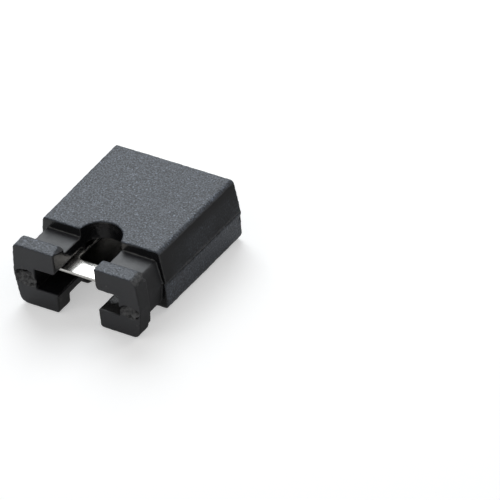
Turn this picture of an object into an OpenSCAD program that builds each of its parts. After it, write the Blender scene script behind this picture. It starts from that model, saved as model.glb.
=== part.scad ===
// Jumper shunt, two positions at 2.54 mm: a moulded housing with an open,
// forked grip end, and one stamped and folded contact that bridges two square pins.
// It lies on its lower broad face. X is across the pins, Y runs from the fork tips
// (negative) to the pin mouth (positive), Z is the thickness. Millimetres.

/* [Pins it takes] */
// Distance between the two pins
pin_pitch = 2.54; // [2.50:0.01:2.58]
// Side of each square pin
pin_side = 0.64; // [0.60:0.01:0.68]
// Height of the pins' centre line above the lower broad face
pin_height = 1.08; // [1.06:0.01:1.12]

/* [Housing] */
// Width at the parting line
body_w = 4.95; // [4.90:0.01:5.10]
// Length from the fork tips to the pin mouth
body_l = 6.00; // [5.80:0.01:6.40]
// Thickness between the two broad faces
body_t = 2.40; // [2.38:0.01:2.60]
// How much narrower each upper edge is than the parting line
upper_draft = 0.155; // [0.06:0.005:0.18]
// How much narrower each lower edge is than the parting line
lower_draft = 0.06; // [0.05:0.01:0.10]
// How much narrower each side is at the shoulder than at the pin mouth
end_taper = 0.05; // [0.00:0.01:0.08]
// Step where the two mould halves meet
parting_step = 0.035; // [0.01:0.005:0.045]
// Radius along the upper edges
upper_round = 0.17; // [0.05:0.01:0.22]
// Radius along the lower edges
lower_round = 0.33; // [0.10:0.01:0.36]
// Radius on the sleeve's lower edge at the shoulder
shoulder_round = 0.30; // [0.10:0.01:0.34]
// Chamfer round the outside of the pin mouth
mouth_break = 0.04; // [0.02:0.01:0.08]

/* [Walls and socket] */
// Side wall at the parting line
side_wall = 0.57; // [0.54:0.01:0.58]
// Lower wall, under the contact
floor_wall = 0.48; // [0.45:0.01:0.50]
// Width and depth of the lead-in round the pin mouth
lead_in = 0.30; // [0.15:0.01:0.32]
// Lead-in on the floor side of the pin mouth
floor_lead_in = 0.20; // [0.10:0.01:0.24]
// How far inside the shoulder the socket ends
stop_inset = 0.15; // [0.12:0.01:0.20]

/* [Fork] */
// Length of each prong, from its tip to the shoulder of the sleeve
prong_l = 1.60; // [1.50:0.01:1.80]
// Length of the raised head at each prong's tip
head_l = 0.65; // [0.50:0.01:0.75]
// How far each head lies below the broad faces
head_drop = 0.03; // [0.00:0.01:0.06]
// How far the neck lies below the broad faces
neck_drop = 0.36; // [0.30:0.01:0.40]
// How far the neck lies inside the side faces
neck_inset = 0.20; // [0.15:0.01:0.24]
// How much narrower each head's upper edge is than the parting line
head_draft = 0.10; // [0.06:0.01:0.16]
// Gap between the two prongs
fork_gap = 1.58; // [1.50:0.01:1.64]
// How far the gap cuts into the sleeve
gap_depth = 0.70; // [0.60:0.01:0.80]
// Radius on the lower edge of the gap where it cuts into the sleeve
gap_edge_round = 0.22; // [0.08:0.01:0.30]
// Outer wall of each C-shaped prong
prong_wall = 0.845; // [0.80:0.005:0.88]
// Radius on the back of each head
head_round = 0.17; // [0.08:0.01:0.20]
// Radius on the lower inner edges of the prongs
prong_round = 0.14; // [0.05:0.01:0.18]
// Cove where the neck meets the head and the shoulder
cove = 0.06; // [0.03:0.01:0.10]

/* [Contact] */
// Thickness of the sheet
sheet_t = 0.12; // [0.10:0.01:0.13]
// Outer radius of the folds
fold_round = 0.24; // [0.20:0.01:0.28]
// Distance from the pin mouth to the contact's edge
contact_inset = 0.45; // [0.38:0.01:0.55]
// Distance from the fork tips to the bridge
bridge_inset = 0.48; // [0.40:0.01:0.55]
// Width of the bridge that shows between the prongs
bridge_w = 0.68; // [0.50:0.01:0.72]
// Width of the window behind the bridge
window_w = 1.40; // [1.20:0.01:1.50]
// Corner radius of the window
window_round = 0.18; // [0.08:0.01:0.24]
// Length of the strip that joins the two sides at the pin mouth
mouth_strip = 1.30; // [1.00:0.01:1.60]
// Height of each spring beam
spring_h = 0.66; // [0.55:0.01:0.68]
// Length of each spring beam, from its root to its free end
spring_l = 2.85; // [2.60:0.01:2.95]
// Length of the full side wall that carries the spring at the pin mouth
spring_root = 0.40; // [0.30:0.01:0.50]
// Height of the slit that frees each spring beam from the wall above it
slit_h = 0.08; // [0.05:0.01:0.10]
// How far each spring reaches past a pin's outer face when no pin is in
preload = 0.12; // [0.06:0.01:0.14]
// Reach of each retaining barb past the contact's edge
barb_reach = 0.05; // [0.03:0.005:0.055]
// Length of each barb
barb_l = 0.30; // [0.20:0.01:0.36]
// Distance from the barbs to the ends of the side walls
barb_inset = 0.10; // [0.05:0.01:0.15]
// Width of the two sheared ends of the carrier strip
carrier_w = 0.34; // [0.25:0.01:0.40]
// How far they stand past the edge
carrier_reach = 0.03; // [0.02:0.01:0.05]

/* [Clearances] */
// Contact to the socket's side walls
side_clear = 0.055; // [0.04:0.005:0.07]
// Contact to the socket's floor
floor_clear = 0.04; // [0.02:0.01:0.06]
// Contact to the socket's roof
roof_clear = 0.20; // [0.10:0.01:0.24]
// Contact to the channels in the prongs
channel_clear = 0.035; // [0.03:0.005:0.05]
// Contact to the stop at the bottom of the socket
stop_clear = 0.05; // [0.03:0.01:0.08]
// Pin to the floor of the prongs' channels
pin_clear = 0.01; // [0.00:0.01:0.03]

/* [Hidden] */
$fn = 48;
eps = 0.01;
arc_steps = 6;      // flats on each moulded edge radius
beam_steps = 18;    // flats along each spring beam
through = 10;       // longer than any side of the part
bow_end = 165;      // degrees of the beam's wave at its free end, 180 is back at the wall

tip_y = -body_l / 2;
mouth_y = body_l / 2;
shoulder_y = tip_y + prong_l;
parting_z = body_t / 2;
half_w = body_w / 2;
taper_angle = atan(end_taper / (mouth_y - shoulder_y));

// Socket
socket_half = half_w - side_wall;
stop_y = shoulder_y + stop_inset;
stop_round = 0.10;

// Contact, placed from the pins
plate_under = pin_height + pin_side / 2;
plate_top = plate_under + sheet_t;
contact_half = socket_half - side_clear;
contact_foot = floor_wall + floor_clear;
socket_roof = plate_top + roof_clear;
contact_back = stop_y + stop_clear;
contact_front = mouth_y - contact_inset;
bridge_y = tip_y + bridge_inset;

// Channels in the prongs: they hold the bridge and let long pins through
channel_half = half_w - prong_wall;
channel_floor = pin_height - pin_side / 2 - pin_clear;
channel_roof = plate_top + channel_clear;
arm_half = channel_half - barb_reach - eps;

// Spring beams, folded from the lower part of each side wall
spring_top = contact_foot + spring_h;
spring_start = contact_front - spring_root;
wall_mid = contact_half - sheet_t / 2;
spring_bow = wall_mid - sheet_t / 2 - (pin_pitch / 2 + pin_side / 2 - preload);

// Points of an arc that rounds corner b between a and c
function unit(v) = v / norm(v);
function corner(a, b, c, r) =
    let (u = unit(a - b), w = unit(c - b),
         half = acos(u * w) / 2,
         mid = b + unit(u + w) * r / sin(half),
         start = b + u * r / tan(half) - mid,
         turn = (180 - 2 * half) * sign(start[1] * u[0] - start[0] * u[1]))
    [for (i = [0 : arc_steps])
        let (t = turn * i / arc_steps)
        mid + [start[0] * cos(t) - start[1] * sin(t), start[0] * sin(t) + start[1] * cos(t)]];

// Outline through points p with a radius at each, 0 leaving it sharp
function rounded(p, r) =
    let (n = len(p))
    [for (i = [0 : n - 1])
        each (r[i] > 0 ? corner(p[(i + n - 1) % n], p[i], p[(i + 1) % n], r[i]) : [p[i]])];

// Moulded cross-section in X and Z, with draft both ways from the parting line
module moulded_section(inset, drop, top_draft, foot_draft, top_r, foot_r, step) {
    mid_x = half_w - inset;
    top_x = mid_x - top_draft;
    foot_x = mid_x - foot_draft;
    polygon(rounded(
        [[foot_x, drop], [mid_x - step, parting_z], [mid_x, parting_z], [top_x, body_t - drop],
         [-top_x, body_t - drop], [-mid_x, parting_z], [-mid_x + step, parting_z], [-foot_x, drop]],
        [foot_r, 0, 0, top_r, top_r, 0, 0, foot_r]));
}

// Lays a section drawn in X and Z along Y, from y0 to y1
module along_y(y0, y1)
    translate([0, y1, 0]) rotate([90, 0, 0]) linear_extrude(y1 - y0) children();

// Lays a side profile drawn in Y and Z across the part, width w
module across_x(w)
    translate([-w / 2, 0, 0]) rotate([90, 0, 90]) linear_extrude(w) children();

// One half of the sleeve, laid along its own side so that it narrows to the shoulder
module sleeve_half()
    translate([half_w, mouth_y, 0]) rotate(-taper_angle) translate([-half_w, -mouth_y, 0])
        along_y(shoulder_y - half_w, mouth_y + half_w)
            intersection() {
                moulded_section(0, 0, upper_draft, lower_draft, upper_round, lower_round,
                                parting_step);
                translate([-half_w / 2, 0]) square([2 * half_w, body_t]);
            }

// Rectangular sleeve round the contact, its mouth edges broken all round
module sleeve() {
    b = mouth_break;
    intersection() {
        union() {
            sleeve_half();
            mirror([1, 0, 0]) sleeve_half();
        }
        across_x(through)
            polygon(rounded([[shoulder_y, 0], [mouth_y - b, 0], [mouth_y, b],
                             [mouth_y, body_t - b], [mouth_y - b, body_t], [shoulder_y, body_t]],
                            [shoulder_round, 0, 0, 0, 0, 0]));
        linear_extrude(body_t)
            polygon([[-half_w, shoulder_y], [half_w, shoulder_y], [half_w, mouth_y - b],
                     [half_w - b, mouth_y], [b - half_w, mouth_y], [-half_w, mouth_y - b]]);
    }
}

// Necks of the two prongs, still joined across the gap
module necks()
    along_y(tip_y + head_l - eps, shoulder_y + eps)
        moulded_section(neck_inset, neck_drop, upper_draft, upper_draft, cove, cove, 0);

// Raised heads of the two prongs, round at the back, still joined across the gap
module heads() {
    back = tip_y + head_l;
    intersection() {
        along_y(tip_y, back)
            moulded_section(0, head_drop, head_draft, upper_draft, head_round, lower_round, 0);
        across_x(through)
            polygon(rounded([[tip_y, head_drop], [back, head_drop],
                             [back, body_t - head_drop], [tip_y, body_t - head_drop]],
                            [0, head_round, head_round, 0]));
        linear_extrude(body_t)
            polygon(rounded([[-half_w, tip_y], [half_w, tip_y], [half_w, back], [-half_w, back]],
                            [0, 0, head_round, head_round]));
    }
}

// Coves along the corners between the necks, the heads and the shoulder
module coves() {
    w = 2 * (half_w - neck_inset - upper_draft - cove);
    for (up = [0, 1])
        translate([0, 0, up * body_t]) mirror([0, 0, up])
            across_x(w)
                difference() {
                    translate([tip_y + head_l, neck_drop - cove])
                        square([prong_l - head_l, cove + eps]);
                    translate([tip_y + head_l + cove, neck_drop - 2 * cove])
                        square([prong_l - head_l - 2 * cove, 2 * cove]);
                    for (y = [tip_y + head_l + cove, shoulder_y - cove])
                        translate([y, neck_drop - cove]) circle(cove);
                }
}

// Gap between the prongs, with a half-round bottom cut into the sleeve
module fork_cut() {
    r = fork_gap / 2;
    q = gap_edge_round;
    centre_y = shoulder_y + gap_depth - r;
    // the lower edge of the half-round is rounded where it is in the sleeve
    intersection() {
        translate([0, centre_y, 0]) rotate_extrude()
            difference() {
                translate([r - eps, -eps]) square(q + eps);
                translate([r + q, q]) circle(q);
            }
        translate([-through / 2, shoulder_y - eps, -eps]) cube([through, through, q + eps]);
    }
    translate([0, 0, -eps]) linear_extrude(body_t + 2 * eps) {
        translate([-r, tip_y - eps]) square([2 * r, centre_y - tip_y + eps]);
        translate([0, centre_y]) circle(r);
    }
}

// Rounds a lower inner edge of both prongs, at height z from y0 to y1
module inner_edges(y0, y1, z) {
    r = prong_round;
    for (s = [0, 1])
        mirror([s, 0, 0]) along_y(y0, y1)
            difference() {
                translate([fork_gap / 2 - eps, z - eps]) square(r + eps);
                translate([fork_gap / 2 + r, z + r]) circle(r);
            }
}

// Socket for the contact, with a lead-in round its mouth
module socket() {
    past = mouth_y + eps;
    slope = eps;
    intersection() {
        across_x(through)
            polygon(rounded(
                [[stop_y, floor_wall], [mouth_y - floor_lead_in, floor_wall],
                 [past, floor_wall - floor_lead_in - slope],
                 [past, socket_roof + lead_in + slope],
                 [mouth_y - lead_in, socket_roof], [stop_y, socket_roof]],
                [stop_round, 0, 0, 0, 0, stop_round]));
        linear_extrude(body_t)
            polygon([[-socket_half, stop_y], [socket_half, stop_y],
                     [socket_half, mouth_y - lead_in],
                     [socket_half + lead_in + slope, past], [-socket_half - lead_in - slope, past],
                     [-socket_half, mouth_y - lead_in]]);
    }
}

// Channels that make each prong a C in section
module channels()
    translate([-channel_half, tip_y - eps, channel_floor])
        cube([2 * channel_half, prong_l + stop_y - shoulder_y + 2 * eps,
              channel_roof - channel_floor]);

module housing() color([0.13, 0.14, 0.15])
    difference() {
        union() {
            sleeve();
            necks();
            heads();
            coves();
        }
        fork_cut();
        inner_edges(tip_y - eps, shoulder_y, channel_roof);
        inner_edges(tip_y - eps, tip_y + head_l, head_drop);
        inner_edges(tip_y + head_l, shoulder_y, neck_drop);
        socket();
        channels();
    }

// Folded channel section of the contact: a plate with two side walls hanging from it
module contact_section()
    difference() {
        translate([-contact_half, contact_foot])
            rounded_top(2 * contact_half, plate_top - contact_foot, fold_round);
        translate([-contact_half + sheet_t, contact_foot - eps])
            rounded_top(2 * (contact_half - sheet_t), plate_under - contact_foot + eps,
                        fold_round - sheet_t);
    }

// Rectangle w by h with its two upper corners rounded
module rounded_top(w, h, r) {
    square([w, h - r]);
    translate([r, 0]) square([w - 2 * r, h]);
    for (x = [r, w - r]) translate([x, h - r]) circle(r);
}

// Plate outline at the fork end: two arms and the bridge that joins them, with barbs
module arms_outline() {
    barb_y = contact_back - barb_inset;
    translate([-arm_half, bridge_y]) square([2 * arm_half, contact_back - bridge_y + eps]);
    for (s = [-1, 1])
        polygon([[s * (arm_half - eps), barb_y - barb_l], [s * (arm_half + barb_reach), barb_y],
                 [s * (arm_half - eps), barb_y]]);
}

// Window between the bridge and the mouth strip
module window_outline() {
    r = window_round;
    y0 = bridge_y + bridge_w;
    y1 = contact_front - mouth_strip;
    translate([-window_w / 2, y0 + r]) square([window_w, y1 - y0 - 2 * r]);
    translate([-window_w / 2 + r, y0]) square([window_w - 2 * r, y1 - y0]);
    for (x = [-1, 1], y = [y0 + r, y1 - r])
        translate([x * (window_w / 2 - r), y]) circle(r);
}

// Offset of a spring beam from the side wall, t from 0 at its root to 1 at its free end
function bow(t) = spring_bow * pow(sin(bow_end * t), 2);

// Plan of one spring beam, bowed towards the pin and flared at its free end
module spring_plan() {
    path = [for (i = [0 : beam_steps])
        [wall_mid - bow(i / beam_steps), spring_start - spring_l * i / beam_steps]];
    polygon(concat(
        [[wall_mid - sheet_t / 2, spring_start + eps], [wall_mid + sheet_t / 2, spring_start + eps]],
        [for (p = path) p + [sheet_t / 2, 0]],
        [for (i = [beam_steps : -1 : 0]) path[i] - [sheet_t / 2, 0]]));
}

module contact() color([0.80, 0.79, 0.76])
    union() {
        difference() {
            union() {
                along_y(contact_back, contact_front) contact_section();
                translate([0, 0, plate_under]) linear_extrude(sheet_t) arms_outline();
                for (s = [-1, 1])
                    translate([s * pin_pitch / 2 - carrier_w / 2, contact_front - eps, plate_under])
                        cube([carrier_w, carrier_reach + eps, sheet_t]);
            }
            // slit under each fold that frees the spring beam
            for (s = [-1, 1])
                translate([s * wall_mid - sheet_t, contact_back - eps, contact_foot - eps])
                    cube([2 * sheet_t, spring_start - contact_back + eps,
                          spring_h + slit_h + eps]);
            translate([0, 0, plate_under - eps]) linear_extrude(sheet_t + 2 * eps)
                window_outline();
        }
        for (s = [0, 1])
            mirror([s, 0, 0]) translate([0, 0, contact_foot]) linear_extrude(spring_h)
                spring_plan();
    }

housing();
contact();
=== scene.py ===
"""Dresses the solids of an open-top jumper shunt: the moulded housing and the folded contact."""

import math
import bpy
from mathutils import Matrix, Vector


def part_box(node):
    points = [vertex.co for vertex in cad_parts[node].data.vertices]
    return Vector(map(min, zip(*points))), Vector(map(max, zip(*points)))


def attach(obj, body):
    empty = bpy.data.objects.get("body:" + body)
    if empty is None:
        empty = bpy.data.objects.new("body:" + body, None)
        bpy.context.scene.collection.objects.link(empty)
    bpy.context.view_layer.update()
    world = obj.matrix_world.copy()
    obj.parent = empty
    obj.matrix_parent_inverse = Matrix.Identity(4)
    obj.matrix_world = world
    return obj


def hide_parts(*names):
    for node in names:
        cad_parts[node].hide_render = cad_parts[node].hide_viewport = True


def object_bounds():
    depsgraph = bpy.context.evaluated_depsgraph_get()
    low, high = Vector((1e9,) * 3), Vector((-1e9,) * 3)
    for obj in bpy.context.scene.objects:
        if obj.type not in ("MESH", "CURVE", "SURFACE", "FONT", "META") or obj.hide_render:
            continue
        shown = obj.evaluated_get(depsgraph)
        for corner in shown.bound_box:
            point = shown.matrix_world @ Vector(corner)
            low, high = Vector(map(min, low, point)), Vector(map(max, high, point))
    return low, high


bl_info = {
    "name": "Jumper Shunt Finish",
    "version": (1, 0, 0),
    "blender": (4, 5, 0),
    "location": "3D View > Sidebar > Shunt",
    "description": "Moulded housing, folded contact and studio stage for a 2.54 mm jumper shunt",
    "category": "Object",
}

import bmesh
import bpy
import numpy as np
from bpy.props import FloatProperty, FloatVectorProperty, IntProperty, PointerProperty
from bpy.types import Operator, Panel, PropertyGroup
from mathutils import Matrix, Vector

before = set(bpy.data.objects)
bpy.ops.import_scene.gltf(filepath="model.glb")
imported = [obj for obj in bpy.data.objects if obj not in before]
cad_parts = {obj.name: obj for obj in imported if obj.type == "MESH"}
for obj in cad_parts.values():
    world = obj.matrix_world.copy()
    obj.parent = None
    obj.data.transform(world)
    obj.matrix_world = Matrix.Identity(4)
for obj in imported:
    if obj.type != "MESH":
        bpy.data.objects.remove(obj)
CAD_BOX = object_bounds()

MM = 0.001                      # shapes are worked in millimetres and placed in metres
BODY = "root"


# ---------------------------------------------------------------- meshes

def node_copy(node, name):
    """Copy of a CAD node's mesh in millimetres, its split vertices joined."""
    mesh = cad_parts[node].data.copy()
    mesh.name = name
    mesh.materials.clear()
    mesh.transform(Matrix.Scale(1 / MM, 4))
    bm = bmesh.new()
    bm.from_mesh(mesh)
    bmesh.ops.remove_doubles(bm, verts=bm.verts, dist=1e-4)
    bm.to_mesh(mesh)
    bm.free()
    obj = bpy.data.objects.new(name, mesh)
    bpy.context.scene.collection.objects.link(obj)
    return obj


def apply_modifiers(obj):
    """Gives obj the mesh its modifiers make, and clears them."""
    graph = bpy.context.evaluated_depsgraph_get()
    made = bpy.data.meshes.new_from_object(obj.evaluated_get(graph))
    obj.modifiers.clear()
    old, name = obj.data, obj.data.name
    obj.data = made
    bpy.data.meshes.remove(old)
    made.name = name


def read_points(mesh):
    """Points and normals of a mesh as arrays."""
    n = len(mesh.vertices)
    co, no = np.empty(n * 3), np.empty(n * 3)
    mesh.vertices.foreach_get("co", co)
    mesh.vertex_normals.foreach_get("vector", no)
    return co.reshape(-1, 3), no.reshape(-1, 3)


def write_points(mesh, co):
    mesh.vertices.foreach_set("co", co.ravel())
    mesh.update()


def write_mask(mesh, name, values):
    """Stores one value a point, which the materials read by name."""
    layer = mesh.attributes.get(name) or mesh.attributes.new(name, "FLOAT", "POINT")
    layer.data.foreach_set("value", np.asarray(values, np.float32))


def place(obj, material, node):
    """Puts a finished piece back in metres, rides it on the body and hides its CAD node."""
    obj.data.transform(Matrix.Scale(MM, 4))
    obj.data.materials.clear()
    obj.data.materials.append(material)
    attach(obj, BODY)
    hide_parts(node)


# ---------------------------------------------------------------- uneven surfaces

def lattice(cells, seed):
    """Steady pseudo-random value between 0 and 1 for each whole-number cell."""
    c = cells.astype(np.int64)
    h = c[:, 0] * 73856093 ^ c[:, 1] * 19349663 ^ c[:, 2] * 83492791 ^ seed * 2654435761
    h = (h ^ (h >> 13)) * 1274126177 & 0xFFFFFFFF
    h = (h ^ (h >> 16)) * 2246822519 & 0xFFFFFFFF
    return ((h ^ (h >> 15)) & 0xFFFFFF) / 0xFFFFFF


def noise(points, size, seed=1):
    """Smooth noise from -1 to 1, with features of about size millimetres."""
    p = points / size + 100.5
    base = np.floor(p)
    f = p - base
    f = f * f * (3 - 2 * f)
    total = np.zeros(len(p))
    for i in (0, 1):
        for j in (0, 1):
            for k in (0, 1):
                w = ((f[:, 0] if i else 1 - f[:, 0]) * (f[:, 1] if j else 1 - f[:, 1])
                     * (f[:, 2] if k else 1 - f[:, 2]))
                total += w * lattice(base + (i, j, k), seed)
    return 2 * total - 1


def rough(points, size, seed=1, octaves=3):
    """Noise with finer detail added."""
    total, gain = np.zeros(len(points)), 1.0
    for o in range(octaves):
        total += gain * noise(points, size / 2 ** o, seed + 17 * o)
        gain *= 0.5
    return total / (2 - 0.5 ** (octaves - 1))


def ramp(v, a, b):
    """0 below a, 1 above b, smooth between. With a above b it falls instead."""
    t = np.clip((v - a) / (b - a), 0, 1)
    return t * t * (3 - 2 * t)


def bell(v, centre, width):
    """1 at centre, falling smoothly to nothing about two widths away."""
    return np.exp(-((v - centre) / width) ** 2)


# ---------------------------------------------------------------- housing

class ShuntHousingSettings(PropertyGroup):
    """Surface of the moulded housing. Lengths are in millimetres."""
    cell: FloatProperty(name="Cell", description="Cell of the surface mesh, in mm; smaller is crisper",
                        default=0.027, min=0.02, max=0.06)
    faces: IntProperty(name="Faces", description="Most triangles the finished housing may have",
                       default=190000, min=20000)
    edge_passes: IntProperty(name="Edge passes", description="Smoothing passes that soften the moulded edges",
                             default=5, min=0, max=20)
    waviness: FloatProperty(name="Waviness", description="Unevenness of the moulded faces, in mm",
                            default=0.007, min=0)
    edge_wear: FloatProperty(name="Edge wear", description="Unevenness of the edges, in mm",
                             default=0.014, min=0)
    grain: FloatProperty(name="Grain", description="Height of the spark-eroded grain, in mm",
                         default=0.006, min=0)
    flash: FloatProperty(name="Flash", description="Height of the flash at the parting line, in mm",
                         default=0.04, min=0)
    gate_depth: FloatProperty(name="Gate depth", description="Depth of the torn gates, in mm",
                              default=0.2, min=0)
    plastic: FloatVectorProperty(name="Plastic", description="Colour of the smooth moulded plastic",
                                 subtype="COLOR", size=3, default=(0.020, 0.0205, 0.0235), min=0, max=1)
    grained: FloatVectorProperty(name="Grained plastic", description="Colour of the spark-eroded faces",
                                 subtype="COLOR", size=3, default=(0.036, 0.044, 0.058), min=0, max=1)
    torn: FloatVectorProperty(name="Torn plastic", description="Colour where gates and chips tore away",
                              subtype="COLOR", size=3, default=(0.075, 0.075, 0.076), min=0, max=1)


class Housing:
    """The housing's limits in mm, and a point set that is worked on: points, normals and masks."""

    def __init__(self, mesh):
        low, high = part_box("housing")
        self.tip, self.mouth = low.y / MM, high.y / MM
        self.half, self.top = high.x / MM, high.z / MM
        self.parting = self.top / 2
        self.mesh = mesh
        self.co, self.no = read_points(mesh)
        self.torn = np.zeros(len(self.co))
        self.groove_shade = np.zeros(len(self.co))

    def side(self, z):
        """Half-width of the prongs' heads at height z."""
        up, down = np.clip(z - self.parting, 0, None), np.clip(self.parting - z, 0, None)
        return self.half - (HEAD_UPPER_DRAFT * up + HEAD_LOWER_DRAFT * down) / self.parting

    def store(self):
        write_points(self.mesh, self.co)
        self.co, self.no = read_points(self.mesh)


HEAD_LENGTH = 0.65
HEAD_DROP = 0.03                # how far the heads lie under the sleeve's upper face
NECK_END = 1.60                 # where the sleeve's shoulder stands, from the fork tips
FACE_DEPTH = 0.05               # what lies this close to the fork tips belongs to the prongs' faces
HEAD_UPPER_DRAFT, HEAD_LOWER_DRAFT = 0.10, 0.155
FORK_HALF = 0.79
CHANNEL_HALF = 1.63             # from the middle to the outer wall of the contact's channels
LOWEST = 0.002                  # the skin never reaches below the surface that the shunt lies on
UPPER_SIDE_GRAIN, LOWER_SIDE_GRAIN = 0.2, 0.62      # grain of the sleeve's sides, where 1 is the broad faces'
PRONG_DULL_SHADE = 0.7                # dullness and painted shade of the prongs' sides, where 1 is the sleeve's

# Rounding of the heads' outer corners, in mm: side, radius at the back, radius at the top, raggedness
HEAD_CORNERS = ((-1, 0.32, 0.0, 0.004), (1, 0.26, 0.31, 0.03))

# Torn gates on the prongs' faces, in mm: distance from the middle, then the heights of the tear's two edges
GATE_LEFT = ((1.62, 1.64, 1.67, 1.73, 1.80, 1.92, 2.12, 2.30, 2.42),
             (1.02, 1.10, 1.26, 1.37, 1.43, 1.45, 1.41, 1.35, 1.24),
             (0.98, 0.94, 0.86, 0.82, 0.79, 0.78, 0.80, 0.86, 1.08))
GATE_RIGHT = ((1.62, 1.66, 1.75, 1.93, 2.08, 2.23, 2.34, 2.42),
              (1.06, 1.13, 1.20, 1.26, 1.25, 1.21, 1.20, 1.12),
              (1.00, 0.93, 0.84, 0.77, 0.78, 0.79, 0.82, 1.02))

# Small crumbs of plastic, in mm: place, radius, height
CRUMBS = (
    ((-0.50, -0.71, 2.40), 0.05, 0.035),
    ((-0.60, -0.735, 2.40), 0.045, 0.03),
    ((-0.03, 0.0, 2.40), 0.04, 0.022),
    ((0.25, 0.47, 2.40), 0.04, 0.018),
    ((1.25, 0.9, 2.40), 0.035, 0.012),
    ((1.24, -3.0, 1.84), 0.05, 0.018),
    ((2.27, -3.0, 0.58), 0.045, 0.018),
    ((-2.09, -3.0, 1.51), 0.04, 0.012),
    ((-2.12, -3.0, 2.36), 0.04, 0.018),
    ((-1.55, -3.0, 2.37), 0.035, 0.014),
    ((-0.86, -3.0, 2.34), 0.04, 0.014),
)


def pull_in(points, centre, radius, bumps=0.0):
    """Brings points farther than radius from centre back to it, and says which: 1 where one was moved."""
    d = points - centre
    r = np.hypot(d[:, 0], d[:, 1])
    keep = np.minimum(r, radius + bumps)
    return centre + d * (keep / np.maximum(r, 1e-9))[:, None], np.clip((r - keep) / 0.02, 0, 1)


def round_heads(h):
    """Rounds the heads' outer corners: the left one as moulded, the right one as worn."""
    in_head = h.co[:, 1] < h.tip + HEAD_LENGTH + 0.02
    proud = (h.co[:, 2] > 2.05) | (h.co[:, 2] < 0.35)
    for sign, back_r, top_r, bumps in HEAD_CORNERS:
        side = sign * h.co[:, 0]
        pick = in_head & proud & (side > 1.8) & (h.co[:, 1] > h.tip + HEAD_LENGTH - back_r)
        edge = h.side(h.co[pick, 2]) - back_r
        flat = np.column_stack([side[pick] - edge, h.co[pick, 1]])
        centre = np.array([0.0, h.tip + HEAD_LENGTH - back_r])
        out = flat[:, 0] > 0
        flat[out], _ = pull_in(flat[out], centre, back_r, bumps * rough(h.co[pick][out], 0.12, 5))
        h.co[pick, 0] = sign * (flat[:, 0] + edge)
        h.co[pick, 1] = flat[:, 1]
        if top_r:
            side = sign * h.co[:, 0]
            centre = np.array([h.side(h.top - top_r) - top_r, h.top - HEAD_DROP - top_r])
            pick = in_head & (side > centre[0]) & (h.co[:, 2] > centre[1])
            worn, hit = pull_in(np.column_stack([side[pick], h.co[pick, 2]]), centre, top_r,
                                bumps * rough(h.co[pick], 0.11, 8))
            h.co[pick, 0], h.co[pick, 2] = sign * worn[:, 0], worn[:, 1]
            h.torn[pick] = np.maximum(h.torn[pick], 0.75 * hit)


def chip_head(h):
    """Bevels the left head's inner upper corner, wider towards its back."""
    normal = np.array([0.714, 0.197, 0.672])
    start = np.array([-FORK_HALF, h.tip, h.top - HEAD_DROP])
    pick = ((np.abs(h.co[:, 0] + FORK_HALF) < 0.35) & (h.co[:, 1] < h.tip + HEAD_LENGTH + 0.05)
            & (h.co[:, 2] > h.top - 0.34))
    over = (h.co[pick] - start) @ normal - 0.012 * rough(h.co[pick], 0.1, 21)
    h.co[pick] -= np.clip(over, 0, None)[:, None] * normal
    h.torn[pick] = np.maximum(h.torn[pick], 0.25 * (over > 0.01))


def tear_gate(h, sign, outline, depth, seed):
    """Sinks a torn gate into a prong's face: steep under its upper edge, shallow below, rough all over, with
    painted shade under its upper edge and in its slits.
    """
    across, upper, lower = (np.array(v) for v in outline)
    side = sign * h.co[:, 0]
    pick = (side > across[0] - 0.03) & (side < across[-1]) & (h.co[:, 1] < h.tip + FACE_DEPTH)
    p = h.co[pick]
    x = sign * p[:, 0] + 0.02 * noise(p, 0.09, seed)
    z = p[:, 2] + 0.025 * noise(p, 0.11, seed + 1)
    z1, z0 = np.interp(x, across, upper), np.interp(x, across, lower)
    t = (z1 - z) / np.maximum(z1 - z0, 1e-6)
    inside = (t > 0) & (t < 1) & (z1 - z0 > 0.02)
    fall = ramp(t, 0.0, 0.12) * (1 - 0.85 * ramp(t, 0.1, 0.95)) * ramp(t, 1.0, 0.9)
    crumbs = rough(p * (1, 1, 1.6), 0.13, seed + 2, 4)
    sink = depth * fall * (1 + 0.5 * crumbs) + 0.02 * crumbs * ramp(t, 0.05, 0.2) * ramp(t, 1.0, 0.85)
    ledge = ramp(t, 0.0, 0.04) * ramp(t, 0.26, 0.14) * np.clip(0.75 + 0.6 * noise(p, 0.2, seed + 7), 0, 1)
    slit = ramp(np.abs(t - 0.9), 0.09, 0.0) * ramp(noise(p, 0.16, seed + 5), 0.0, 0.35)
    # grooves under the upper edge and slits near the lower one: sunk deeper, and darkened in the material as
    # painted shade
    groove_shade = np.maximum(ledge, slit)
    p[:, 1] += np.where(inside, np.maximum(sink, -0.01) + 1.5 * depth * groove_shade, 0)
    h.co[pick] = p
    h.torn[pick] = np.maximum(h.torn[pick], inside * ramp(t, 0.0, 0.1))
    # painted shade: these grooves and a band under the gate's upper edge are darkened in the material
    shadow = np.maximum(groove_shade, ramp(t, 0.02, 0.06) * ramp(t, 0.40, 0.24))
    h.groove_shade[pick] = np.maximum(h.groove_shade[pick], inside * shadow)


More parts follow.
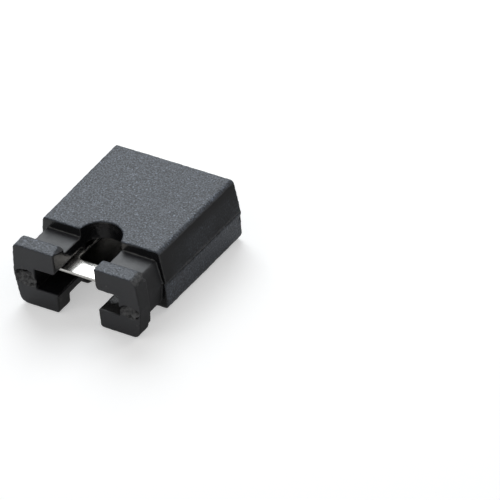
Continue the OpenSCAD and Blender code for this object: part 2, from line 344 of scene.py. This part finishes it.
def raise_flash(h, height):
    """Ragged bead with a groove below it along the sleeve's parting line, the groove darkened as painted
    shade, and a nib at the pin mouth.
    """
    x, y, z = h.co.T
    on_side = (np.abs(h.no[:, 0]) > 0.5) & (np.abs(x) > 2.2) & (y > h.tip + NECK_END - 0.05)
    line = np.column_stack([np.sign(x) * 3, y, np.zeros_like(y)])
    ragged = 0.6 + 0.6 * rough(line, 0.45, 31) + 0.35 * noise(line, 0.1, 33)
    up = z - h.parting - 0.035 * rough(line, 0.3, 35)
    bead = bell(up, 0.015, 0.035) * np.clip(ragged, 0, None)
    under = bell(up, -0.075, 0.045) * np.clip(1.5 * ragged - 0.2, 0, 1.6)
    at_mouth = ramp(y, h.mouth - 0.24, h.mouth - 0.06)
    nib = bell(z, h.parting - 0.08, 0.08) - 1.6 * bell(z, h.parting - 0.33, 0.07)
    out = (bead - 1.3 * under) * (1 - at_mouth) + 0.9 * nib * at_mouth
    h.co[:, 0] += on_side * np.sign(x) * height * out
    # painted shade in the groove under the bead
    h.groove_shade = np.maximum(h.groove_shade, on_side * np.clip(under, 0, 1) * (1 - at_mouth))
    h.torn = np.maximum(h.torn, on_side * np.clip(1.3 * bead - 0.2, 0, 0.85))


def raise_crumbs(h):
    """Small crumbs and burrs that the mould or the gate left."""
    for (x, y, z), radius, height in CRUMBS:
        d = np.linalg.norm(h.co - np.array((x, y, z)), axis=1)
        lump = ramp(d, radius, 0.0) * (0.7 + 0.5 * noise(h.co, 0.03, 41))
        h.co += h.no * (height * lump)[:, None]
        h.torn = np.maximum(h.torn, ramp(d, radius * 0.9, radius * 0.3))


def housing_masks(h):
    """How grained, dull and polished each point is; dull and polished places are also darkened as painted
    shade. Side faces: across, ends: along, broad faces: steep.
    """
    x, y, z = h.co.T
    across, along, steep = np.abs(h.no.T)
    sleeve = ramp(y, h.tip + NECK_END - 0.03, h.tip + NECK_END + 0.03)
    head = ramp(y, h.tip + HEAD_LENGTH + 0.03, h.tip + HEAD_LENGTH - 0.08)
    outer = np.maximum(ramp(z, h.top - 0.13, h.top - 0.06), ramp(z, 0.13, 0.06))
    broad = ramp(steep, 0.35, 0.75) * outer * np.maximum(sleeve, head)
    side = ramp(np.abs(x), 2.05, 2.2) * ramp(across, 0.4, 0.7)
    low_side = side * ramp(z, h.parting - 0.03, h.parting - 0.08) * sleeve
    upper_sleeve = sleeve * ramp(z, h.parting - 0.06, h.parting)
    # dull sides of the sleeve's upper half and of the prongs: rougher, and darkened in the material as
    # painted shade
    dull_shaded = side * ramp(steep, 0.5, 0.25) * (upper_sleeve + PRONG_DULL_SHADE * (1 - sleeve))
    shoulder = ramp(np.abs(y - h.tip - NECK_END), 0.2, 0.14) * ramp(along, 0.25, 0.5)
    within = ramp(np.abs(x), FORK_HALF + 0.1, FORK_HALF + 0.03) * ramp(y, h.mouth - 1.0, h.mouth - 1.4)
    channel = ramp(np.abs(x), CHANNEL_HALF + 0.09, CHANNEL_HALF + 0.01) * ramp(y, h.tip + 0.02, h.tip + 0.08)
    channel *= ramp(z, h.top - 0.3, h.top - 0.6) * ramp(z, 0.1, 0.2)
    # shoulder, fork's inner faces and channel walls: glossier, and darkened in the material as painted shade
    polished_shaded = np.maximum(shoulder, np.maximum(within * ramp(steep, 0.6, 0.4), channel))
    centre = ramp(y, h.tip + NECK_END + 0.15, h.tip + NECK_END + 0.9) * ramp(z, h.top - 0.2, h.top - 0.6)
    faint = UPPER_SIDE_GRAIN * dull_shaded * sleeve * centre * (1 + 0.7 * noise(h.co, 0.5, 91))
    grain = np.maximum(broad, np.maximum(LOWER_SIDE_GRAIN * low_side, faint))
    return grain, dull_shaded, polished_shaded * (1 - broad)


def plastic_material(s):
    """Black plastic: smooth, spark-eroded, dull, polished, torn or near black in grooves, as the masks say.
    Dull and polished places are darkened and grooves made near black as painted shade, and the grain has
    painted glints.
    """
    mat = bpy.data.materials.new("moulded_plastic")
    mat.use_nodes = True
    nodes, link = mat.node_tree.nodes, mat.node_tree.links.new
    bsdf = nodes["Principled BSDF"]
    bsdf.inputs["IOR"].default_value = 1.5

    place_mm = nodes.new("ShaderNodeMapping")
    place_mm.inputs["Scale"].default_value = (1 / MM,) * 3
    link(nodes.new("ShaderNodeTexCoord").outputs["Object"], place_mm.inputs["Vector"])

    def speckle(scale, detail, gain=0.6):
        n = nodes.new("ShaderNodeTexNoise")
        n.inputs["Scale"].default_value = scale
        n.inputs["Detail"].default_value = detail
        n.inputs["Roughness"].default_value = gain
        link(place_mm.outputs[0], n.inputs["Vector"])
        return n.outputs["Fac"]

    def mask(name):
        a = nodes.new("ShaderNodeAttribute")
        a.attribute_name = name
        return a.outputs["Fac"]

    def mix(fac, a, b, kind="RGBA"):
        m = nodes.new("ShaderNodeMix")
        m.data_type = kind
        first, second, out = (6, 7, 2) if kind == "RGBA" else (2, 3, 0)
        for value, i in ((a, first), (b, second)):
            if isinstance(value, bpy.types.NodeSocket):
                link(value, m.inputs[i])
            else:
                m.inputs[i].default_value = value
        link(fac, m.inputs[0])
        return m.outputs[out]

    def span(fac, a, b, lo=0.0, hi=1.0):
        r = nodes.new("ShaderNodeMapRange")
        for name, value in (("From Min", a), ("From Max", b), ("To Min", lo), ("To Max", hi)):
            r.inputs[name].default_value = value
        link(fac, r.inputs["Value"])
        return r.outputs["Result"]

    def times(a, b):
        m = nodes.new("ShaderNodeMath")
        m.operation = "MULTIPLY"
        link(a, m.inputs[0])
        link(b, m.inputs[1])
        return m.outputs[0]

    def shade(colour, k):
        return [c * k for c in colour] + [1]

    grain, torn, groove_shade, dull_shaded, polished_shaded = (mask(n) for n in ("grain", "torn", "groove_shade", "dull_shaded", "polished_shaded"))
    fine, coarse, broad = speckle(17, 1), speckle(7, 2), speckle(1.6, 3)
    # painted glints: bright specks in the grain's colour
    glint = times(span(fine, 0.57, 0.68), span(coarse, 0.50, 0.64))

    grained = mix(span(fine, 0.36, 0.64), shade(s.grained, 0.3), shade(s.grained, 1.6))
    grained = mix(span(broad, 0.35, 0.65, 0.0, 0.25), grained, shade(s.grained, 1.25))
    grained = mix(glint, grained, shade(s.grained, 4.0))
    smooth = mix(span(broad, 0.3, 0.7), shade(s.plastic, 0.88), shade(s.plastic, 1.14))
    # painted shade: the dull sides darkened
    smooth = mix(dull_shaded, smooth, shade(s.plastic, 0.3))
    # painted shade: the polished shoulder, fork inner faces and channel walls darkened
    smooth = mix(polished_shaded, smooth, shade(s.plastic, 0.3))
    colour = mix(grain, smooth, grained)
    torn_colour = mix(span(speckle(9, 3), 0.34, 0.66), shade(s.torn, 0.3), shade(s.torn, 1.5))
    # painted shade: near black in the grooves under the gates' upper edges and under the flash
    colour = mix(groove_shade, mix(torn, colour, torn_colour), shade(s.plastic, 0.1))
    link(colour, bsdf.inputs["Base Color"])

    even = mix(dull_shaded, span(broad, 0.3, 0.7, 0.45, 0.54), 0.85, "FLOAT")
    even = mix(polished_shaded, even, 0.24, "FLOAT")
    roughness = mix(grain, even, span(fine, 0.36, 0.64, 0.58, 0.44), "FLOAT")
    link(mix(groove_shade, mix(torn, roughness, 0.75, "FLOAT"), 1.0, "FLOAT"), bsdf.inputs["Roughness"])

    bump = nodes.new("ShaderNodeBump")
    bump.inputs["Distance"].default_value = 3 * s.grain * MM
    link(times(mix(grain, 0.08, 1.0, "FLOAT"), fine), bump.inputs["Height"])
    link(bump.outputs["Normal"], bsdf.inputs["Normal"])
    return mat


def near_gates(centres):
    """Picks the places on the prongs' faces that the torn gates reach."""
    x, y, z = centres.T
    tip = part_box("housing")[0].y / MM
    return (y < tip + FACE_DEPTH) & (np.abs(x) > 1.6) & (z > 0.7) & (z < 1.5)


def densify(mesh, wanted):
    """Splits the faces whose centres wanted() picks, once, for finer detail there."""
    bm = bmesh.new()
    bm.from_mesh(mesh)
    centres = np.array([f.calc_center_median() for f in bm.faces])
    picked = wanted(centres)
    edges = {e for f, p in zip(bm.faces, picked) if p for e in f.edges}
    bmesh.ops.subdivide_edges(bm, edges=list(edges), cuts=1, use_grid_fill=True)
    bm.to_mesh(mesh)
    bm.free()


class SHUNT_OT_housing(Operator):
    """Build the moulded housing over its solid: soft edges, flash, torn gates and chips"""
    bl_idname = "shunt.housing"
    bl_label = "Moulded housing"
    bl_options = {"REGISTER", "UNDO"}

    def execute(self, context):
        s = context.scene.shunt_housing
        obj = node_copy("housing", "housing_shell")
        skin = obj.modifiers.new("skin", "REMESH")
        skin.mode = "VOXEL"
        skin.voxel_size = s.cell
        soften = obj.modifiers.new("soften", "SMOOTH")
        soften.factor = 0.5
        soften.iterations = s.edge_passes
        apply_modifiers(obj)
        densify(obj.data, near_gates)

        h = Housing(obj.data)
        round_heads(h)
        chip_head(h)
        h.store()
        edge = ramp(1 - np.abs(h.no).max(axis=1), 0.03, 0.18)
        wear = s.waviness * rough(h.co, 0.7, 3, 2) + s.edge_wear * edge * (rough(h.co, 0.12, 6) - 0.25)
        h.co += h.no * wear[:, None]
        raise_flash(h, s.flash)
        tear_gate(h, -1, GATE_LEFT, s.gate_depth, 51)
        tear_gate(h, 1, GATE_RIGHT, s.gate_depth, 71)
        h.store()
        raise_crumbs(h)
        h.co[:, 2] = np.maximum(h.co[:, 2], LOWEST)
        h.store()
        write_mask(obj.data, "torn", h.torn)
        write_mask(obj.data, "groove_shade", h.groove_shade)

        faces = sum(len(p.vertices) - 2 for p in obj.data.polygons)
        if faces > s.faces:
            thin = obj.modifiers.new("thin", "DECIMATE")
            thin.ratio = s.faces / faces
            apply_modifiers(obj)
        h = Housing(obj.data)
        for name, values in zip(("grain", "dull_shaded", "polished_shaded"), housing_masks(h)):
            write_mask(obj.data, name, values)
        obj.data.shade_smooth()
        place(obj, plastic_material(s), "housing")
        self.report({"INFO"}, f"housing: {len(obj.data.polygons)} faces")
        return {"FINISHED"}


# ---------------------------------------------------------------- contact

class ShuntContactSettings(PropertyGroup):
    """Surface of the stamped contact. Lengths are in millimetres."""
    edge: FloatProperty(name="Edge", description="Rounding of the sheared edges, in mm",
                        default=0.014, min=0.002, max=0.04)
    tin: FloatVectorProperty(name="Tin", description="Colour of the tin plate", subtype="COLOR", size=3,
                             default=(0.80, 0.785, 0.75), min=0, max=1)
    alloy: FloatVectorProperty(name="Bare alloy", description="Colour of the alloy where it was sheared",
                               subtype="COLOR", size=3, default=(0.74, 0.52, 0.25), min=0, max=1)


def tin_material(s):
    """Bright tin plate with faint rolling marks, bare alloy on the carrier ends."""
    mat = bpy.data.materials.new("tin_plate")
    mat.use_nodes = True
    nodes, link = mat.node_tree.nodes, mat.node_tree.links.new
    bsdf = nodes["Principled BSDF"]
    bsdf.inputs["Metallic"].default_value = 1.0
    stretch = nodes.new("ShaderNodeMapping")
    stretch.inputs["Scale"].default_value = (30 / MM, 1.5 / MM, 30 / MM)
    link(nodes.new("ShaderNodeTexCoord").outputs["Object"], stretch.inputs["Vector"])
    rolled = nodes.new("ShaderNodeTexNoise")
    rolled.inputs["Scale"].default_value = 1.0
    rolled.inputs["Detail"].default_value = 3
    link(stretch.outputs[0], rolled.inputs["Vector"])
    bare = nodes.new("ShaderNodeAttribute")
    bare.attribute_name = "bare"
    colour = nodes.new("ShaderNodeMix")
    colour.data_type = "RGBA"
    colour.inputs[6].default_value = list(s.tin) + [1]
    colour.inputs[7].default_value = list(s.alloy) + [1]
    link(bare.outputs["Fac"], colour.inputs[0])
    link(colour.outputs[2], bsdf.inputs["Base Color"])
    sheen = nodes.new("ShaderNodeMapRange")
    sheen.inputs["To Min"].default_value = 0.20
    sheen.inputs["To Max"].default_value = 0.32
    link(rolled.outputs["Fac"], sheen.inputs["Value"])
    link(sheen.outputs["Result"], bsdf.inputs["Roughness"])
    bump = nodes.new("ShaderNodeBump")
    bump.inputs["Distance"].default_value = 0.0006 * MM
    link(rolled.outputs["Fac"], bump.inputs["Height"])
    link(bump.outputs["Normal"], bsdf.inputs["Normal"])
    return mat


class SHUNT_OT_contact(Operator):
    """Build the folded contact over its solid: rounded sheared edges and bare carrier ends"""
    bl_idname = "shunt.contact"
    bl_label = "Folded contact"
    bl_options = {"REGISTER", "UNDO"}

    def execute(self, context):
        s = context.scene.shunt_contact
        obj = node_copy("contact", "contact_plate")
        bm = bmesh.new()
        bm.from_mesh(obj.data)
        bmesh.ops.dissolve_limit(bm, angle_limit=math.radians(0.5), verts=bm.verts, edges=bm.edges)
        bm.to_mesh(obj.data)
        bm.free()
        edge = obj.modifiers.new("edge", "BEVEL")
        edge.width = s.edge
        edge.segments = 3
        edge.limit_method = "ANGLE"
        edge.angle_limit = math.radians(50)
        edge.use_clamp_overlap = True
        apply_modifiers(obj)
        y = read_points(obj.data)[0][:, 1]
        write_mask(obj.data, "bare", ramp(y, y.max() - 0.02, y.max() - 0.012))
        obj.data.shade_smooth()
        obj.data.set_sharp_from_angle(angle=math.radians(35))
        place(obj, tin_material(s), "contact")
        self.report({"INFO"}, f"contact: {len(obj.data.polygons)} faces")
        return {"FINISHED"}


# ---------------------------------------------------------------- stage

class ShuntStageSettings(PropertyGroup):
    """Floor, lamps and camera. Lengths are in millimetres."""
    floor: FloatVectorProperty(name="Floor", description="Colour of the floor", subtype="COLOR", size=3,
                               default=(0.72, 0.72, 0.72), min=0, max=1)
    key: FloatProperty(name="Key", description="Radiance of the large lamp behind the left side",
                       default=4.0, min=0)
    fill: FloatProperty(name="Fill", description="Radiance of the soft lamp in front", default=1.0, min=0)
    back: FloatProperty(name="Back", description="Radiance of the lamp behind the right side",
                        default=2.2, min=0)
    ambient: FloatProperty(name="Ambient", description="Strength of the even light all round",
                           default=0.35, min=0)
    azimuth: FloatProperty(name="Azimuth", description="Camera's turn round the part, from the fork's end",
                           default=math.radians(36.858), subtype="ANGLE")
    elevation: FloatProperty(name="Elevation", description="Camera's height as an angle",
                             default=math.radians(36.808), subtype="ANGLE")
    roll: FloatProperty(name="Roll", description="Camera's turn about its own axis",
                        default=math.radians(6.852), subtype="ANGLE")
    distance: FloatProperty(name="Distance", description="Camera's distance, in mm", default=250)
    scale: FloatProperty(name="Scale", description="Width of the view at that distance, in mm",
                         default=16.2427)
    aside: FloatVectorProperty(name="Aside", description="The part's place in the view, right and up, in mm",
                               size=2, default=(-3.976, 0.299))


# Soft lamps: name, place and size in mm, colour
LAMPS = (
    ("key", (-45, 60, 75), 80, (0.93, 0.97, 1.0)),
    ("fill", (-40, -90, 60), 70, (1.0, 0.99, 0.97)),
    ("back", (52, 66, 62), 45, (1.0, 0.98, 0.95)),
)

# How much the floor glows to rays of each kind, besides what the lamps give it
FLOOR_LIFT = (("Is Camera Ray", 0.42), ("Is Glossy Ray", 0.08), ("Is Transmission Ray", 0.08))
FLOOR_HALF = 400                # half the floor's side, in mm


def lamp(name, pos, size, radiance, colour, aim=(0, 0, 1.0)):
    """Soft square lamp at pos that faces aim, both in mm. At radiance 1 it is as bright as a white card."""
    data = bpy.data.lights.new(name, "AREA")
    data.shape = "SQUARE"
    data.size = size * MM
    data.color = colour
    data.energy = radiance * math.pi * (size * MM) ** 2
    obj = bpy.data.objects.new(name, data)
    bpy.context.scene.collection.objects.link(obj)
    obj.location = Vector(pos) * MM
    obj.rotation_euler = (Vector(pos) - Vector(aim)).to_track_quat("Z", "Y").to_euler()


def floor_material(colour):
    """Pale floor that the lamps light, lifted where it is seen directly and a little in reflections."""
    mat = bpy.data.materials.new("pale_floor")
    mat.use_nodes = True
    nodes, link = mat.node_tree.nodes, mat.node_tree.links.new
    bsdf = nodes["Principled BSDF"]
    bsdf.inputs["Base Color"].default_value = list(colour) + [1]
    bsdf.inputs["Roughness"].default_value = 0.9
    bsdf.inputs["Specular IOR Level"].default_value = 0.1
    bsdf.inputs["Emission Color"].default_value = (1, 1, 1, 1)
    seen = nodes.new("ShaderNodeLightPath")
    total = None
    for ray, lift in FLOOR_LIFT:
        part = nodes.new("ShaderNodeMath")
        part.operation = "MULTIPLY_ADD"
        part.inputs[1].default_value = lift
        part.inputs[2].default_value = 0
        link(seen.outputs[ray], part.inputs[0])
        if total:
            link(total, part.inputs[2])
        total = part.outputs[0]
    link(total, bsdf.inputs["Emission Strength"])
    return mat


class SHUNT_OT_stage(Operator):
    """Build the floor, the lamps, the world and the camera"""
    bl_idname = "shunt.stage"
    bl_label = "Stage"
    bl_options = {"REGISTER", "UNDO"}

    def execute(self, context):
        s = context.scene.shunt_stage
        half = FLOOR_HALF * MM
        mesh = bpy.data.meshes.new("floor")
        corners = [(-half, -half, 0), (half, -half, 0), (half, half, 0), (-half, half, 0)]
        mesh.from_pydata(corners, [], [range(4)])
        mesh.materials.append(floor_material(s.floor))
        floor = bpy.data.objects.new("floor", mesh)
        context.scene.collection.objects.link(floor)

        for name, place_mm, size, colour in LAMPS:
            lamp(f"{name}_lamp", place_mm, size, getattr(s, name), colour)

        world = bpy.data.worlds.new("studio")
        world.use_nodes = True
        back = world.node_tree.nodes["Background"]
        back.inputs["Color"].default_value = (1, 1, 1, 1)
        back.inputs["Strength"].default_value = s.ambient
        context.scene.world = world
        context.scene.view_settings.view_transform = "Standard"

        data = bpy.data.cameras.new("camera")
        data.sensor_width = 36
        data.lens = 36 * s.distance / s.scale
        data.clip_start = 1 * MM
        data.clip_end = 5000 * MM
        cam = bpy.data.objects.new("camera", data)
        context.scene.collection.objects.link(cam)
        az, el = s.azimuth, s.elevation
        back_axis = Vector((math.sin(az) * math.cos(el), -math.cos(az) * math.cos(el), math.sin(el)))
        right = Vector((math.cos(az), math.sin(az), 0))
        up = back_axis.cross(right)
        turn = Matrix((right, up, back_axis)).transposed() @ Matrix.Rotation(-s.roll, 3, "Z")
        low, high = (Vector(c) / MM for c in CAD_BOX)
        centre = (low + high) / 2
        eye = centre + turn @ Vector((-s.aside[0], -s.aside[1], s.distance))
        cam.matrix_world = Matrix.Translation(eye * MM) @ turn.to_4x4()
        context.scene.camera = cam
        return {"FINISHED"}


# ---------------------------------------------------------------- add-on

class SHUNT_PT_panel(Panel):
    """Pieces of the shunt, in the order they are made"""
    bl_idname = "SHUNT_PT_panel"
    bl_label = "Jumper shunt"
    bl_space_type = "VIEW_3D"
    bl_region_type = "UI"
    bl_category = "Shunt"

    def draw(self, context):
        for group, operator in GROUPS:
            box = self.layout.box()
            box.operator(operator)
            settings = getattr(context.scene, group)
            for name in settings.__annotations__:
                box.prop(settings, name)


GROUPS = (
    ("shunt_housing", "shunt.housing"),
    ("shunt_contact", "shunt.contact"),
    ("shunt_stage", "shunt.stage"),
)
CLASSES = (ShuntHousingSettings, ShuntContactSettings, ShuntStageSettings,
           SHUNT_OT_housing, SHUNT_OT_contact, SHUNT_OT_stage, SHUNT_PT_panel)


def register():
    for cls in CLASSES:
        bpy.utils.register_class(cls)
    bpy.types.Scene.shunt_housing = PointerProperty(type=ShuntHousingSettings)
    bpy.types.Scene.shunt_contact = PointerProperty(type=ShuntContactSettings)
    bpy.types.Scene.shunt_stage = PointerProperty(type=ShuntStageSettings)


def unregister():
    for group, _ in GROUPS:
        delattr(bpy.types.Scene, group)
    for cls in reversed(CLASSES):
        bpy.utils.unregister_class(cls)


def main():
    register()
    bpy.ops.shunt.housing()
    bpy.ops.shunt.contact()
    bpy.ops.shunt.stage()


if __name__ == "__main__":
    main()
